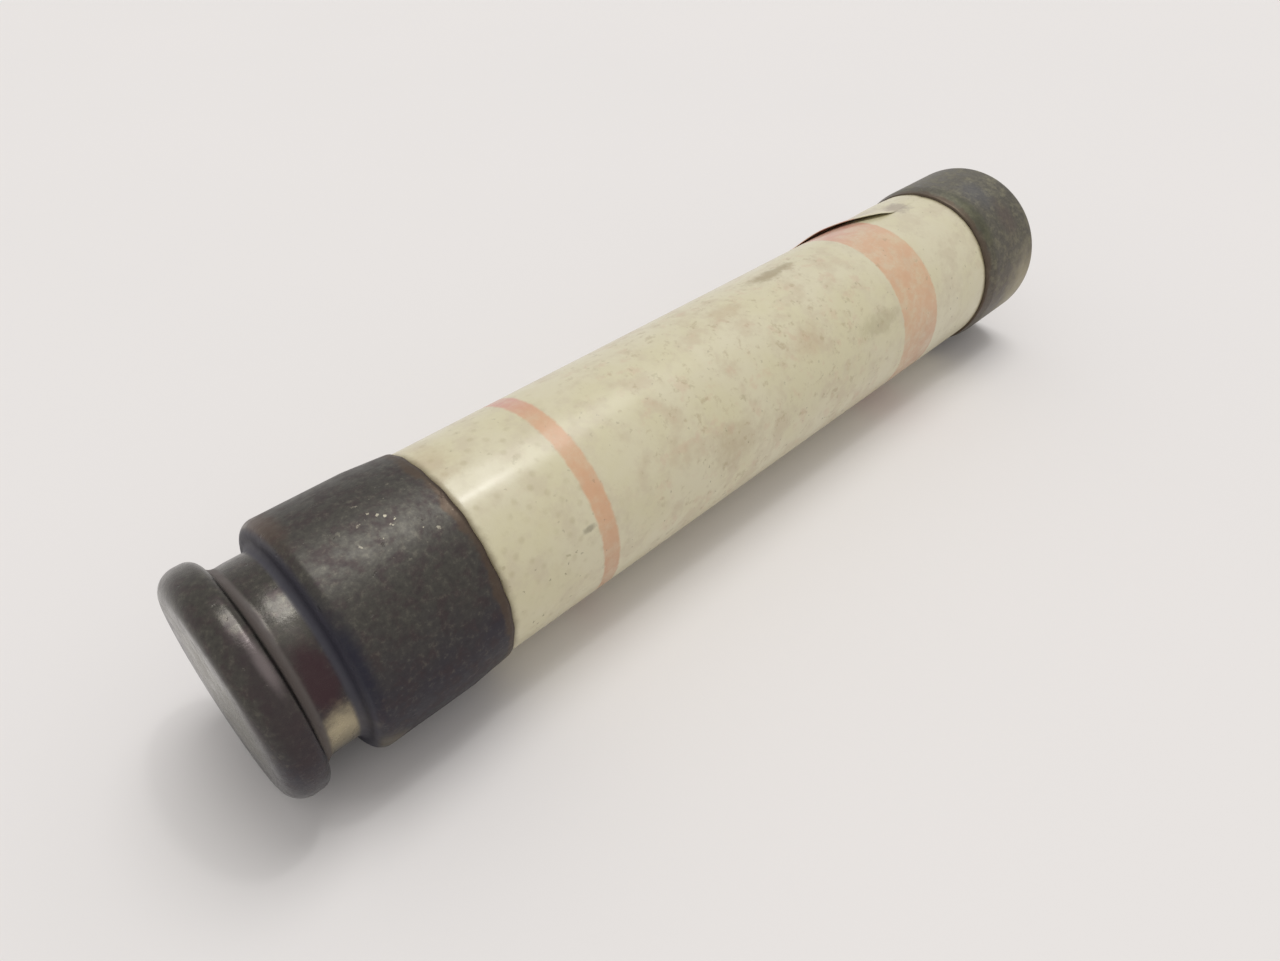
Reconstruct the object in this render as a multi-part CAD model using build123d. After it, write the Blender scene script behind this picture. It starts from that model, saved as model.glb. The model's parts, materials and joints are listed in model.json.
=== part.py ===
from build123d import *

import os

# A time-delay cartridge fuse of the 600 V, 35 to 60 A class R size.
# It lies along X, centred on the origin, with Z up and the grooved (rejection) ferrule at -X.
# Current runs from one ferrule to the other through a link, the spring-loaded overload
# trigger in the middle of the tube, and a second link. Lengths are in millimetres.

# Whole fuse
OVERALL_LENGTH = 139.7
FERRULE_DIAMETER = 27.0
FERRULE_WALL = 0.75
REJECTION_FERRULE_LENGTH = 25.4
PLAIN_FERRULE_LENGTH = 15.9

# Closed end of the rejection ferrule: a flange, then a groove, then the barrel's shoulder.
# Drops are radial, below the barrel. Widths and GROOVE_END are measured along the fuse.
FLANGE_WIDTH = 4.2
FLANGE_DROP = 0.55
FLANGE_FACE_CORNER = 2.4
FLANGE_BACK_CORNER = 1.0
GROOVE_END = 9.0
GROOVE_DROP = 2.6
GROOVE_FLANGE_ROOT = 1.0
GROOVE_SHOULDER_ROOT = 0.4
SHOULDER_CORNER = 1.5
PLAIN_END_CORNER = 1.5

# Open rims, swaged down into a pinched seat on the tube
REJECTION_TAPER_LENGTH = 4.9
PLAIN_TAPER_LENGTH = 2.5
RIM_DROP = 0.4
RIM_GAP = 0.1

# Tube and its paper label, whose two edges meet along a seam
TUBE_WALL = 2.4
FERRULE_CLEARANCE = 0.05
LABEL_THICKNESS = 0.1
LABEL_SETBACK = 0.3
LABEL_SEAM_GAP = 0.3
LABEL_SEAM_ANGLE = 56.0

# Plates across the tube
END_WASHER_THICKNESS = 1.2
END_WASHER_CLEARANCE = 0.1
FIBRE_DISC_THICKNESS = 1.5
BORE_CLEARANCE = 0.05
REJECTION_SOLDER_DEPTH = 1.0
PLAIN_SOLDER_DEPTH = 0.75

# Fusible links: flat strips with rows of round holes, and a tab bent over each end washer
LINK_WIDTH = 12.0
LINK_THICKNESS = 0.3
LINK_TAB_HEIGHT = 5.0
LINK_SLOT_CLEARANCE = 0.05
LINK_HOLE_DIAMETER = 2.6
LINK_HOLE_SPACING = 4.0
LINK_HOLES_ACROSS = 3
LINK_ROW_PITCH = 7.0
LINK_ROW_MARGIN = 4.0

# Overload trigger, in a fibre sleeve between two barrier discs
SLEEVE_WALL = 1.05
FLANGE_CLEARANCE = 0.05
BOSS_DIAMETER = 10.0
ABSORBER_FLANGE_THICKNESS = 3.0
ABSORBER_WEB = 1.8
GUIDE_FLANGE_THICKNESS = 3.5
GUIDE_WEB = 0.6
LINK_SEAT_DEPTH = 0.9
POCKET_DEPTH = 0.8
POCKET_MARGIN = 0.5
POCKET_HEIGHT = 2.4
ALLOY_DEPTH = 4.5
ALLOY_WALL = 0.25
ALLOY_FLOOR = 0.5
ALLOY_CLEARANCE = 0.05
PLUNGER_DIAMETER = 4.0
PLUNGER_TIP_CHAMFER = 0.3
COLLAR_DIAMETER = 10.0
COLLAR_THICKNESS = 1.5
TAIL_ENGAGEMENT = 2.9
GUIDE_CLEARANCE = 0.05
TRIGGER_TRAVEL = 5.0
TRAVEL_GAP = 0.1
TAIL_END_GAP = 0.2
SEAT_WASHER_DIAMETER = 11.0
SEAT_WASHER_CLEARANCE = 0.3
SEAT_WASHER_THICKNESS = 1.0
SPRING_LENGTH = 6.0
SPRING_WIRE_DIAMETER = 0.7
SPRING_COIL_DIAMETER = 8.3
SPRING_TURNS = 5
SPRING_END_GAP = 0.03

# Radii that several pieces share
barrel_radius = FERRULE_DIAMETER / 2
tube_radius = barrel_radius - FERRULE_WALL - FERRULE_CLEARANCE
bore_radius = tube_radius - TUBE_WALL
bore_disc_radius = bore_radius - BORE_CLEARANCE
end_washer_radius = barrel_radius - SHOULDER_CORNER - END_WASHER_CLEARANCE
trigger_flange_radius = bore_disc_radius - SLEEVE_WALL - FLANGE_CLEARANCE
boss_radius = BOSS_DIAMETER / 2
plunger_radius = PLUNGER_DIAMETER / 2
alloy_radius = plunger_radius + ALLOY_CLEARANCE + ALLOY_WALL

# Stations along X, from the rejection end to the plain end
rejection_end = -OVERALL_LENGTH / 2
plain_end = OVERALL_LENGTH / 2
rejection_rim = rejection_end + REJECTION_FERRULE_LENGTH
plain_rim = plain_end - PLAIN_FERRULE_LENGTH
rejection_taper = rejection_rim - REJECTION_TAPER_LENGTH
plain_taper = plain_rim + PLAIN_TAPER_LENGTH
shoulder_seat = rejection_end + GROOVE_END + FERRULE_WALL
plain_seat = plain_end - FERRULE_WALL - PLAIN_SOLDER_DEPTH
tube_start = shoulder_seat + END_WASHER_THICKNESS
tube_end = plain_seat - END_WASHER_THICKNESS

# Stations of the trigger, which is centred in the tube
absorber_length = POCKET_DEPTH + LINK_SEAT_DEPTH + ABSORBER_WEB + ALLOY_DEPTH
guide_bore_depth = TAIL_ENGAGEMENT + TRIGGER_TRAVEL + TAIL_END_GAP
guide_length = guide_bore_depth + GUIDE_WEB + LINK_SEAT_DEPTH + POCKET_DEPTH
spring_space = SEAT_WASHER_THICKNESS + SPRING_LENGTH
collar_space = COLLAR_THICKNESS + TRIGGER_TRAVEL + TRAVEL_GAP
chamber_length = absorber_length + spring_space + collar_space + guide_length
chamber_start = -chamber_length / 2
chamber_end = chamber_length / 2
absorber_face = chamber_start + absorber_length
spring_start = absorber_face + SEAT_WASHER_THICKNESS
collar_start = spring_start + SPRING_LENGTH
collar_end = collar_start + COLLAR_THICKNESS
guide_face = chamber_end - guide_length


def turned(*corners):
    """A solid turned about X. A corner is (x, radius), or (x, radius, fillet) where it is rounded."""
    points = [corner[:2] for corner in corners]
    fillets = [corner[2] if len(corner) == 3 else 0 for corner in corners]
    outline = FilletPolyline(*points, radius=fillets, close=True)
    return revolve(make_face(outline), Axis.X)


def plate(start, end, radius, bore=0):
    """A round plate, washer or sleeve between two stations."""
    return turned((start, bore), (start, radius), (end, radius), (end, bore))


def block(start, end, width, low, high):
    """A box between two stations, centred across the fuse, from height low to height high."""
    centre = Pos((start + end) / 2, 0, (low + high) / 2)
    return centre * Box(end - start, width, high - low)


def rejection_profile(inset):
    """The rejection ferrule's outline to the axis, drawn inwards by inset."""
    barrel = barrel_radius - inset
    flange = barrel - FLANGE_DROP
    groove = barrel - GROOVE_DROP
    face = rejection_end + inset
    flange_back = rejection_end + FLANGE_WIDTH - inset
    shoulder = rejection_end + GROOVE_END + inset
    return turned(
        (face, 0),
        (face, flange, FLANGE_FACE_CORNER - inset),
        (flange_back, flange, FLANGE_BACK_CORNER - inset),
        (flange_back, groove, GROOVE_FLANGE_ROOT + inset),
        (shoulder, groove, GROOVE_SHOULDER_ROOT + inset),
        (shoulder, barrel, SHOULDER_CORNER - inset),
        (rejection_taper, barrel),
        (rejection_rim, barrel - RIM_DROP),
        (rejection_rim, 0),
    )


def rejection_ferrule():
    """The rejection ferrule's wall, as three rings that meet at the two ends of the groove's floor.

    The flange, the floor and the barrel each have a plain rounded outside of their own.
    """
    wall = rejection_profile(0) - rejection_cavity
    floor_start = rejection_end + FLANGE_WIDTH + GROOVE_FLANGE_ROOT
    floor_end = rejection_end + GROOVE_END - GROOVE_SHOULDER_ROOT
    cuts = (rejection_end, floor_start, floor_end, rejection_rim)
    rings = [wall & plate(start, end, FERRULE_DIAMETER) for start, end in zip(cuts, cuts[1:])]
    return Compound([solid for ring in rings for solid in ring.solids()])


def plain_profile(inset):
    """The plain ferrule's outline to the axis, drawn inwards by inset."""
    barrel = barrel_radius - inset
    face = plain_end - inset
    return turned(
        (plain_rim, 0),
        (plain_rim, barrel - RIM_DROP),
        (plain_taper, barrel),
        (face, barrel, PLAIN_END_CORNER - inset),
        (face, 0),
    )


def tube():
    """The fibre tube, with a pinched seat under each swaged rim."""
    seat_radius = tube_radius - RIM_DROP
    return turned(
        (tube_start, bore_radius),
        (tube_start, tube_radius),
        (rejection_taper, tube_radius),
        (rejection_rim, seat_radius),
        (rejection_rim + RIM_GAP, seat_radius),
        (rejection_rim + RIM_GAP, tube_radius),
        (plain_rim - RIM_GAP, tube_radius),
        (plain_rim - RIM_GAP, seat_radius),
        (plain_rim, seat_radius),
        (plain_taper, tube_radius),
        (tube_end, tube_radius),
        (tube_end, bore_radius),
    )


def label():
    """The paper label, wrapped once round the tube and open along its seam."""
    start = rejection_rim + LABEL_SETBACK
    end = plain_rim - LABEL_SETBACK
    outside = tube_radius + LABEL_THICKNESS
    seam = Pos(0, outside, 0) * Box(OVERALL_LENGTH, 4 * LABEL_THICKNESS, LABEL_SEAM_GAP)
    return plate(start, end, outside, tube_radius) - Rot(LABEL_SEAM_ANGLE, 0, 0) * seam


def link_slot(start, end):
    """The cutter for a slot that a link passes through."""
    half_height = LINK_THICKNESS / 2 + LINK_SLOT_CLEARANCE
    return block(start, end, LINK_WIDTH + 2 * LINK_SLOT_CLEARANCE, -half_height, half_height)


def slotted_plate(start, end, radius):
    """A plate across the tube with a slot for the link."""
    return plate(start, end, radius) - link_slot(start, end)


def link(tab_start, strip_start, strip_end, sand_start, sand_end):
    """A link whose tab starts at tab_start, with hole rows centred in the sand's length."""
    half_thickness = LINK_THICKNESS / 2
    strip = block(strip_start, strip_end, LINK_WIDTH, -half_thickness, half_thickness)
    tab_end = tab_start + LINK_THICKNESS
    tab = block(tab_start, tab_end, LINK_WIDTH, -half_thickness, LINK_TAB_HEIGHT)
    rows = int((sand_end - sand_start - 2 * LINK_ROW_MARGIN) // LINK_ROW_PITCH) + 1
    grid = GridLocations(LINK_ROW_PITCH, LINK_HOLE_SPACING, rows, LINK_HOLES_ACROSS)
    drill = Cylinder(LINK_HOLE_DIAMETER / 2, 2 * LINK_THICKNESS)
    middle = Pos((sand_start + sand_end) / 2, 0, 0)
    holes = [middle * spot * drill for spot in grid]
    return (strip + tab) - holes


def sand(start, end, strip):
    """The sand that fills the bore round a link, and the link's holes."""
    return plate(start, end, bore_radius) - strip


def link_socket(back, inward):
    """The solder pocket and the link seat cut into a trigger block's back face.

    inward is 1 where the block lies towards +X of its back face, and -1 where it lies towards -X.
    """
    pocket_end = back + inward * POCKET_DEPTH
    seat_end = pocket_end + inward * LINK_SEAT_DEPTH
    half_height = POCKET_HEIGHT / 2
    width = LINK_WIDTH + 2 * POCKET_MARGIN
    pocket = block(min(back, pocket_end), max(back, pocket_end), width, -half_height, half_height)
    return pocket, link_slot(min(pocket_end, seat_end), max(pocket_end, seat_end))


def heat_absorber(pocket, seat):
    """The copper block that the link heats: a flange, and a boss with the alloy's blind bore."""
    flange_end = chamber_start + ABSORBER_FLANGE_THICKNESS
    body = turned(
        (chamber_start, 0),
        (chamber_start, trigger_flange_radius),
        (flange_end, trigger_flange_radius),
        (flange_end, boss_radius),
        (absorber_face, boss_radius),
        (absorber_face, 0),
    )
    return body - plate(absorber_face - ALLOY_DEPTH, absorber_face, alloy_radius) - pocket - seat


def fusing_alloy():
    """The cup of low-melting alloy that holds the plunger's nose in the absorber."""
    floor = absorber_face - ALLOY_DEPTH
    cup = plate(floor, absorber_face, alloy_radius)
    return cup - plate(floor + ALLOY_FLOOR, absorber_face, plunger_radius + ALLOY_CLEARANCE)


def trigger_plunger():
    """The plunger: its nose in the alloy, a collar for the spring, and a tail in the guide."""
    nose = absorber_face - ALLOY_DEPTH + ALLOY_FLOOR + ALLOY_CLEARANCE
    tail = guide_face + TAIL_ENGAGEMENT
    collar_radius = COLLAR_DIAMETER / 2
    return turned(
        (nose, 0),
        (nose, plunger_radius),
        (collar_start, plunger_radius),
        (collar_start, collar_radius),
        (collar_end, collar_radius),
        (collar_end, plunger_radius),
        (tail - PLUNGER_TIP_CHAMFER, plunger_radius),
        (tail, plunger_radius - PLUNGER_TIP_CHAMFER),
        (tail, 0),
    )


def plunger_guide(pocket, seat):
    """The brass block that the plunger's tail slides into: a boss, then a flange at its back."""
    flange_start = chamber_end - GUIDE_FLANGE_THICKNESS
    body = turned(
        (guide_face, 0),
        (guide_face, boss_radius),
        (flange_start, boss_radius),
        (flange_start, trigger_flange_radius),
        (chamber_end, trigger_flange_radius),
        (chamber_end, 0),
    )
    bore = plate(guide_face, guide_face + guide_bore_depth, plunger_radius + GUIDE_CLEARANCE)
    return body - bore - pocket - seat


def trigger_spring():
    """The compression spring, held short between its seat washer and the plunger's collar."""
    inset = SPRING_WIRE_DIAMETER / 2 + SPRING_END_GAP
    height = SPRING_LENGTH - 2 * inset
    start = Vector(spring_start + inset, 0, 0)
    coil = Helix(height / SPRING_TURNS, height, SPRING_COIL_DIAMETER / 2, start, (1, 0, 0))
    section = Plane(coil @ 0, z_dir=coil % 0) * Circle(SPRING_WIRE_DIAMETER / 2)
    return sweep(section, path=coil, is_frenet=True)


rejection_sand_start = tube_start + FIBRE_DISC_THICKNESS
rejection_sand_end = chamber_start - FIBRE_DISC_THICKNESS
plain_sand_start = chamber_end + FIBRE_DISC_THICKNESS
plain_sand_end = tube_end - FIBRE_DISC_THICKNESS

absorber_pocket, absorber_seat = link_socket(chamber_start, 1)
guide_pocket, guide_seat = link_socket(chamber_end, -1)
link_reach = POCKET_DEPTH + LINK_SEAT_DEPTH

rejection_side_link = link(
    shoulder_seat - LINK_THICKNESS,
    shoulder_seat - LINK_THICKNESS,
    chamber_start + link_reach,
    rejection_sand_start,
    rejection_sand_end,
)
plain_side_link = link(
    plain_seat,
    chamber_end - link_reach,
    plain_seat + LINK_THICKNESS,
    plain_sand_start,
    plain_sand_end,
)

rejection_cavity = rejection_profile(FERRULE_WALL)
plain_cavity = plain_profile(FERRULE_WALL)
rejection_puddle = plate(shoulder_seat - REJECTION_SOLDER_DEPTH, shoulder_seat, barrel_radius)
plain_puddle = plate(plain_seat, plain_seat + PLAIN_SOLDER_DEPTH, barrel_radius)

nodes = {
    "rejection_ferrule": rejection_ferrule(),
    "plain_ferrule": plain_profile(0) - plain_cavity,
    "tube": tube(),
    "label": label(),
    "rejection_end_washer": slotted_plate(shoulder_seat, tube_start, end_washer_radius),
    "plain_end_washer": slotted_plate(tube_end, plain_seat, end_washer_radius),
    "rejection_terminal_solder": (rejection_puddle & rejection_cavity) - rejection_side_link,
    "plain_terminal_solder": (plain_puddle & plain_cavity) - plain_side_link,
    "rejection_fibre_disc": slotted_plate(tube_start, rejection_sand_start, bore_disc_radius),
    "plain_fibre_disc": slotted_plate(plain_sand_end, tube_end, bore_disc_radius),
    "rejection_barrier_disc": slotted_plate(rejection_sand_end, chamber_start, bore_disc_radius),
    "plain_barrier_disc": slotted_plate(chamber_end, plain_sand_start, bore_disc_radius),
    "rejection_side_link": rejection_side_link,
    "plain_side_link": plain_side_link,
    "rejection_side_sand": sand(rejection_sand_start, rejection_sand_end, rejection_side_link),
    "plain_side_sand": sand(plain_sand_start, plain_sand_end, plain_side_link),
    "trigger_sleeve": plate(
        chamber_start, chamber_end, bore_disc_radius, bore_disc_radius - SLEEVE_WALL
    ),
    "heat_absorber": heat_absorber(absorber_pocket, absorber_seat),
    "absorber_solder": absorber_pocket - rejection_side_link,
    "fusing_alloy": fusing_alloy(),
    "spring_seat_washer": plate(
        absorber_face,
        spring_start,
        SEAT_WASHER_DIAMETER / 2,
        plunger_radius + SEAT_WASHER_CLEARANCE,
    ),
    "trigger_spring": trigger_spring(),
    "trigger_plunger": trigger_plunger(),
    "plunger_guide": plunger_guide(guide_pocket, guide_seat),
    "guide_solder": guide_pocket - plain_side_link,
}

os.makedirs("parts", exist_ok=True)
for name, solid in nodes.items():
    export_step(solid, f"parts/{name}.step")
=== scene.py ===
# %% [markdown]
# # An old rejection-type cartridge fuse
# The fuse is a fibre tube with a paper label, closed by two drawn brass ferrules. One ferrule
# has a groove that only the right fuse block accepts. The brass has tarnished almost black,
# and the label is varnished, faded and stained. This lesson gives the working model its looks.

# %% Load the working model
import json
import math

import bpy
import numpy as np
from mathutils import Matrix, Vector


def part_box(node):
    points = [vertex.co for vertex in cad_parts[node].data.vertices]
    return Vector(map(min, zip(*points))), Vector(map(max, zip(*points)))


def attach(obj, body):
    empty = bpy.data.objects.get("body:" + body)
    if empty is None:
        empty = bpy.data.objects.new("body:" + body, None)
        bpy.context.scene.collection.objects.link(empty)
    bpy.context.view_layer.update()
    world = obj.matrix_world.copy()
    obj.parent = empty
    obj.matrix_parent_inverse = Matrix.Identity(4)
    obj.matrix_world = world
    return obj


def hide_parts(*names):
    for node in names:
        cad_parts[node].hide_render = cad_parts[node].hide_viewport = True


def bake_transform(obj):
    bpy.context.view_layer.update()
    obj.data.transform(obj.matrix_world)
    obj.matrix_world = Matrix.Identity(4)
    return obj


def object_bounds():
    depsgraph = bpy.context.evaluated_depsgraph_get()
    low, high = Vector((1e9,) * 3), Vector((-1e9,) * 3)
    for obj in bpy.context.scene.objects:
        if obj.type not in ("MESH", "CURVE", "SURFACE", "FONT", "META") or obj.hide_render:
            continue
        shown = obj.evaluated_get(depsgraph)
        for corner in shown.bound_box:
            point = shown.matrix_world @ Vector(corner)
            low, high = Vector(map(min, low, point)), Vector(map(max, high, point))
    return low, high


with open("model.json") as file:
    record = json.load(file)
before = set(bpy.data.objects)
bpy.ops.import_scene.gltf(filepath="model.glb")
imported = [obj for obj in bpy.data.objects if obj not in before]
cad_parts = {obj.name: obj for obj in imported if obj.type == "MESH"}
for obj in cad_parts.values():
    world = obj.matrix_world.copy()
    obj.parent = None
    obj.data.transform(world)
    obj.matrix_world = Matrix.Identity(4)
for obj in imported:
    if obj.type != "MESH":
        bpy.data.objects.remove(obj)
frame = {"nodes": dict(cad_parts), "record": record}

cad_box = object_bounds()
MM = 0.001
nodes = frame["nodes"]
end_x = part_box("rejection_ferrule")[0].x
barrel_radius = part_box("rejection_ferrule")[1].z
rim_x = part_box("rejection_ferrule")[1].x
plain_rim_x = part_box("plain_ferrule")[0].x
plain_end_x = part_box("plain_ferrule")[1].x
tube_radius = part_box("tube")[1].z
print("fuse length", round((plain_end_x - end_x) / MM, 2), "mm")

# %% [markdown]
# ## Turned and wrapped surfaces as arrays
# Almost every piece of a fuse is round, so one grid of points describes it: rows run along a
# profile and columns run round the axis. Working out the whole grid at once with numpy is quick,
# and it lets small dents be added as a formula before the points become a mesh.

# %% Grids to meshes
def grid_quads(rows, columns, closed_rows=False, closed_columns=False):
    """Four corner numbers for each cell of a grid whose points are numbered row by row.

    A closed direction joins its last line of points back to its first.
    """
    row = np.arange(rows if closed_rows else rows - 1)[:, None]
    column = np.arange(columns if closed_columns else columns - 1)[None, :]
    next_row, next_column = (row + 1) % rows, (column + 1) % columns
    corners = (
        row * columns + column,
        row * columns + next_column,
        next_row * columns + next_column,
        next_row * columns + column,
    )
    return np.stack(corners, axis=-1).reshape(-1, 4)


def mesh_object(name, points, faces, material):
    """A smooth-shaded object from an array of points and a list of faces' corner numbers."""
    mesh = bpy.data.meshes.new(name)
    mesh.from_pydata(points.tolist(), [], faces)
    mesh.validate()
    mesh.shade_smooth()
    mesh.materials.append(material)
    made = bpy.data.objects.new(name, mesh)
    bpy.context.scene.collection.objects.link(made)
    print(name, len(mesh.polygons), "faces")
    return made


def make_piece(name, points, faces, material):
    """A mesh object that rides on the fuse's body."""
    piece = mesh_object(name, points, faces, material)
    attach(piece, "fuse_body")
    return piece


def smooth_step(low, high, value):
    """0 below low, 1 above high, and 3t^2 - 2t^3 in between."""
    t = np.clip((value - low) / (high - low), 0, 1)
    return t * t * (3 - 2 * t)


# %% Profiles with rounded corners
ARC_STEP = math.radians(9)


def rounded_profile(corners, spacing):
    """Points along straight runs whose corners are arcs; corners are (x, radius, fillet) rows.

    A fillet starts its radius times tan(half the turn) before the corner. The result is spaced
    no wider than spacing along the runs, and ARC_STEP round the arcs.
    """
    corners = np.array(corners, float)
    spots, fillets = corners[:, :2], corners[:, 2]
    line = [spots[:1]]
    for before, corner, after, fillet in zip(spots, spots[1:], spots[2:], fillets[1:]):
        if fillet == 0:
            line.append(corner[None])
            continue
        into = (corner - before) / np.linalg.norm(corner - before)
        out = (after - corner) / np.linalg.norm(after - corner)
        side = np.sign(into[0] * out[1] - into[1] * out[0])
        turn = math.acos(np.clip(into @ out, -1, 1))
        start = corner - into * fillet * math.tan(turn / 2)
        inward = side * np.array([-into[1], into[0]])
        steps = np.linspace(0, turn, max(3, math.ceil(turn / ARC_STEP) + 1))[:, None]
        line.append(start + fillet * (into * np.sin(steps) + inward * (1 - np.cos(steps))))
    line.append(spots[-1:])
    line = np.concatenate(line)
    filled = [line[:1]]
    for start, end in zip(line, line[1:]):
        count = max(1, math.ceil(np.linalg.norm(end - start) / spacing))
        filled.append(start + (end - start) * np.arange(1, count + 1)[:, None] / count)
    return np.concatenate(filled)


# %% [markdown]
# ## Node trees in a few words
# A procedural finish is a graph of many small nodes. A helper that adds a node and fills its
# sockets in one call keeps each finish readable. Effects that several finishes need, such as
# patchy colour, specks, smudges and bands, are node groups with named inputs and outputs.

# %% A short way to write node trees
class Graph:
    """Adds nodes to one tree. A socket's value may be a number, a colour or another socket."""

    def __init__(self, tree):
        self.tree = tree
        tree.nodes.clear()

    def add(self, kind, settings=(), **sockets):
        """A node of this kind; settings are its properties, and _ is a space in a socket's name."""
        node = self.tree.nodes.new(kind)
        for key, value in dict(settings).items():
            setattr(node, key, value)
        for key, value in sockets.items():
            self.put(node.inputs[key.replace("_", " ")], value)
        return node

    def put(self, socket, value):
        """Links another node's socket into this one, or sets a plain value on it."""
        if isinstance(value, bpy.types.NodeSocket):
            self.tree.links.new(value, socket)
        else:
            socket.default_value = value

    def math(self, operation, first, second=0.0):
        """Arithmetic on two numbers."""
        node = self.add("ShaderNodeMath", {"operation": operation})
        self.put(node.inputs[0], first)
        self.put(node.inputs[1], second)
        return node.outputs[0]

    def vector(self, operation, first, second):
        """Arithmetic on two vectors, part by part."""
        node = self.add("ShaderNodeVectorMath", {"operation": operation})
        self.put(node.inputs[0], first)
        self.put(node.inputs[1], second)
        return node.outputs[0]

    def blend(self, factor, first, second):
        """One colour fading to another as factor goes from 0 to 1."""
        node = self.add("ShaderNodeMix", {"data_type": "RGBA"})
        self.put(node.inputs[0], factor)
        self.put(node.inputs[6], first)
        self.put(node.inputs[7], second)
        return node.outputs[2]

    def ease(self, value, low, high, to_low=0.0, to_high=1.0):
        """A smooth step: to_low where value is under low, and to_high where it is over high."""
        node = self.add("ShaderNodeMapRange", {"interpolation_type": "SMOOTHSTEP"}, Value=value)
        ends = {"From Min": low, "From Max": high, "To Min": to_low, "To Max": to_high}
        for name, number in ends.items():
            self.put(node.inputs[name], number)
        return node.outputs["Result"]

    def noise(self, vector, scale, detail=3.0, roughness=0.55):
        """Cloudy noise from 0 to 1, with about scale clouds to the metre."""
        node = self.add("ShaderNodeTexNoise", Vector=vector, Scale=scale, Detail=detail,
                        Roughness=roughness)
        return node.outputs["Fac"]

    def parts(self, vector):
        """The three numbers of a vector, by the names X, Y and Z."""
        return self.add("ShaderNodeSeparateXYZ", Vector=vector).outputs

    def use(self, group, **sockets):
        """A placed node group, as its named outputs."""
        node = self.add("ShaderNodeGroup", {"node_tree": group})
        for key, value in sockets.items():
            self.put(node.inputs[key.replace("_", " ")], value)
        return node.outputs


SOCKETS = {"float": "NodeSocketFloat", "color": "NodeSocketColor", "vector": "NodeSocketVector"}


def new_group(name, inputs, outputs):
    """An empty node group with these named sockets, with its graph and its two end nodes."""
    tree = bpy.data.node_groups.new(name, "ShaderNodeTree")
    for in_out, sockets in (("INPUT", inputs), ("OUTPUT", outputs)):
        for socket_name, kind in sockets.items():
            tree.interface.new_socket(name=socket_name, in_out=in_out, socket_type=SOCKETS[kind])
    graph = Graph(tree)
    print("group", name)
    return tree, graph, graph.add("NodeGroupInput").outputs, graph.add("NodeGroupOutput").inputs


def srgb(red, green, blue):
    """A colour as a paint chart gives it, 0 to 255, turned into the linear values of light."""
    share = np.array([red, green, blue]) / 255
    linear = np.where(share <= 0.04045, share / 12.92, ((share + 0.055) / 1.055) ** 2.4)
    return (*linear.tolist(), 1.0)


# %% [markdown]
# ## Patchy colour
# Nothing this old is one even colour. Tarnish, varnish and fibre go patchy in broad soft areas
# with smaller blots inside them, so two noises of different sizes can carry every finish.

# %% Group: patchy colour
def patchy_colour_group():
    """Three colours in soft patches: a wide noise mixes two, and a finer one adds the third."""
    tree, graph, given, out = new_group(
        "patchy colour",
        {"Vector": "vector", "Scale": "float", "Main": "color", "Second": "color",
         "Third": "color", "Third Share": "float"},
        {"Color": "color", "Wide": "float", "Fine": "float"},
    )
    wide = graph.noise(given["Vector"], given["Scale"], 4.0, 0.6)
    fine_scale = graph.math("MULTIPLY", given["Scale"], 3.1)
    fine = graph.noise(given["Vector"], fine_scale, 5.0, 0.65)
    base = graph.blend(graph.ease(wide, 0.38, 0.62), given["Main"], given["Second"])
    third = graph.math("MULTIPLY", graph.ease(fine, 0.45, 0.66), given["Third Share"])
    graph.put(out["Color"], graph.blend(third, base, given["Third"]))
    graph.put(out["Wide"], wide)
    graph.put(out["Fine"], fine)
    return tree


patchy_colour = patchy_colour_group()

# %% [markdown]
# ## Specks
# Brown flecks in the paper and pits in the metal are small separate spots. Each cell of a
# Voronoi pattern can hold one spot or none, and noise that bends the pattern makes them ragged.

# %% Group: specks
def specks_group():
    """Small ragged spots, one in each of a share of the cells of a Voronoi pattern."""
    tree, graph, given, out = new_group(
        "specks",
        {"Vector": "vector", "Scale": "float", "Size": "float", "Share": "float"},
        {"Mask": "float"},
    )
    warp_scale = graph.math("MULTIPLY", given["Scale"], 2.5)
    warp = graph.add("ShaderNodeTexNoise", Vector=given["Vector"], Scale=warp_scale)
    swing_size = graph.math("DIVIDE", 0.9, given["Scale"])
    swing = graph.add("ShaderNodeVectorMath", {"operation": "SCALE"}, Scale=swing_size)
    graph.put(swing.inputs[0], warp.outputs["Color"])
    ragged = graph.vector("ADD", given["Vector"], swing.outputs[0])
    cells = graph.add("ShaderNodeTexVoronoi", Vector=ragged, Scale=given["Scale"])
    draw = graph.add("ShaderNodeSeparateColor", Color=cells.outputs["Color"]).outputs
    chosen = graph.math("LESS_THAN", draw["Red"], given["Share"])
    reach = graph.math("MULTIPLY", given["Size"], graph.ease(draw["Green"], 0.0, 1.0, 0.4, 1.0))
    spot = graph.ease(graph.math("DIVIDE", cells.outputs["Distance"], reach), 0.5, 1.0, 1.0, 0.0)
    graph.put(out["Mask"], graph.math("MULTIPLY", chosen, spot))
    return tree


specks = specks_group()

# %% [markdown]
# ## Smudges
# Some marks have a place of their own, such as a worn patch on the groove or a stain on the
# label. A mask that falls off about a given point, with a ragged edge, paints all of them.

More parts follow.
